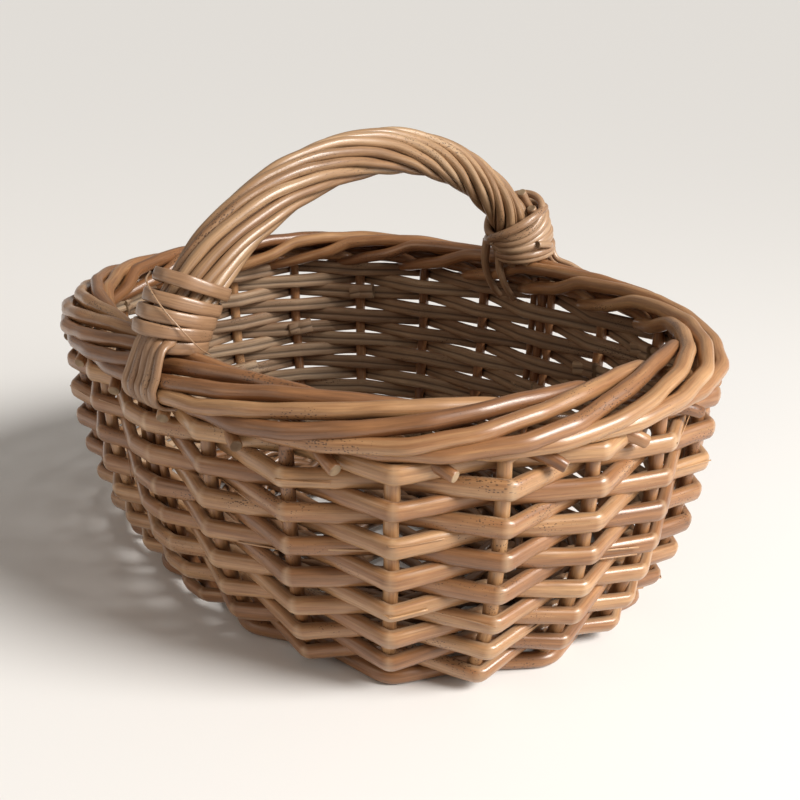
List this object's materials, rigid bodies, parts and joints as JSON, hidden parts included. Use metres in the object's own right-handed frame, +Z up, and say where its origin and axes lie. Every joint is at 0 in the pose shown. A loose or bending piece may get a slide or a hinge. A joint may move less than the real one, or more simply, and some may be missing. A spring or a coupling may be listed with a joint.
{
  "type": "egg collection basket",
  "caption": "Small oval woven willow basket for collecting eggs, with a rolled rim and a roped handle fixed across its middle.",
  "frame": {"origin": "centre of the ground footprint, on the surface the basket stands on", "axes": "+Z up, +X along the long side of the oval, and the handle spans Y from its near foot at -Y to its far foot at +Y"},
  "size_m": [0.279, 0.2258, 0.1742],
  "materials": {
    "stake_willow": "satin varnish over buff willow",
    "weaver_willow": "satin varnish over buff willow",
    "base_willow": "satin varnish over buff willow",
    "bow_willow": "matt peeled willow rod",
    "rope_willow": "satin varnish over buff willow",
    "skein_willow": "satin split willow skein"
  },
  "bodies": {
    "root": {"base_long_stick_1": "base_willow", "base_long_stick_2": "base_willow", "base_long_stick_3": "base_willow", "base_short_stick_1": "base_willow", "base_short_stick_2": "base_willow", "base_short_stick_3": "base_willow", "base_short_stick_4": "base_willow", "base_short_stick_5": "base_willow", "base_pairing_1": "base_willow", "base_pairing_2": "base_willow", "base_pairing_3": "base_willow", "base_pairing_4": "base_willow", "foot_wale": "weaver_willow", "stake_1": "stake_willow", "stake_2": "stake_willow", "stake_3": "stake_willow", "stake_4": "stake_willow", "stake_5": "stake_willow", "stake_6": "stake_willow", "stake_7": "stake_willow", "stake_8": "stake_willow", "stake_9": "stake_willow", "stake_10": "stake_willow", "stake_11": "stake_willow", "stake_12": "stake_willow", "stake_13": "stake_willow", "stake_14": "stake_willow", "stake_15": "stake_willow", "stake_16": "stake_willow", "stake_17": "stake_willow", "stake_18": "stake_willow", "stake_19": "stake_willow", "stake_20": "stake_willow", "stake_21": "stake_willow", "stake_22": "stake_willow", "weaver_row_1": "weaver_willow", "weaver_row_2": "weaver_willow", "weaver_row_3": "weaver_willow", "weaver_row_4": "weaver_willow", "weaver_row_5": "weaver_willow", "weaver_row_6": "weaver_willow", "weaver_row_7": "weaver_willow", "weaver_row_8": "weaver_willow", "weaver_row_9": "weaver_willow", "weaver_row_10": "weaver_willow", "weaver_row_11": "weaver_willow", "weaver_row_12": "weaver_willow", "weaver_row_13": "weaver_willow", "weaver_row_14": "weaver_willow", "handle_bow": "bow_willow", "handle_rope_1": "rope_willow", "handle_rope_2": "rope_willow", "handle_rope_3": "rope_willow", "handle_rope_4": "rope_willow", "near_liners": "stake_willow", "far_liners": "stake_willow", "near_bands": "skein_willow", "near_ties": "skein_willow", "far_wraps": "skein_willow", "far_ties": "skein_willow"}
  },
  "joints": []
}
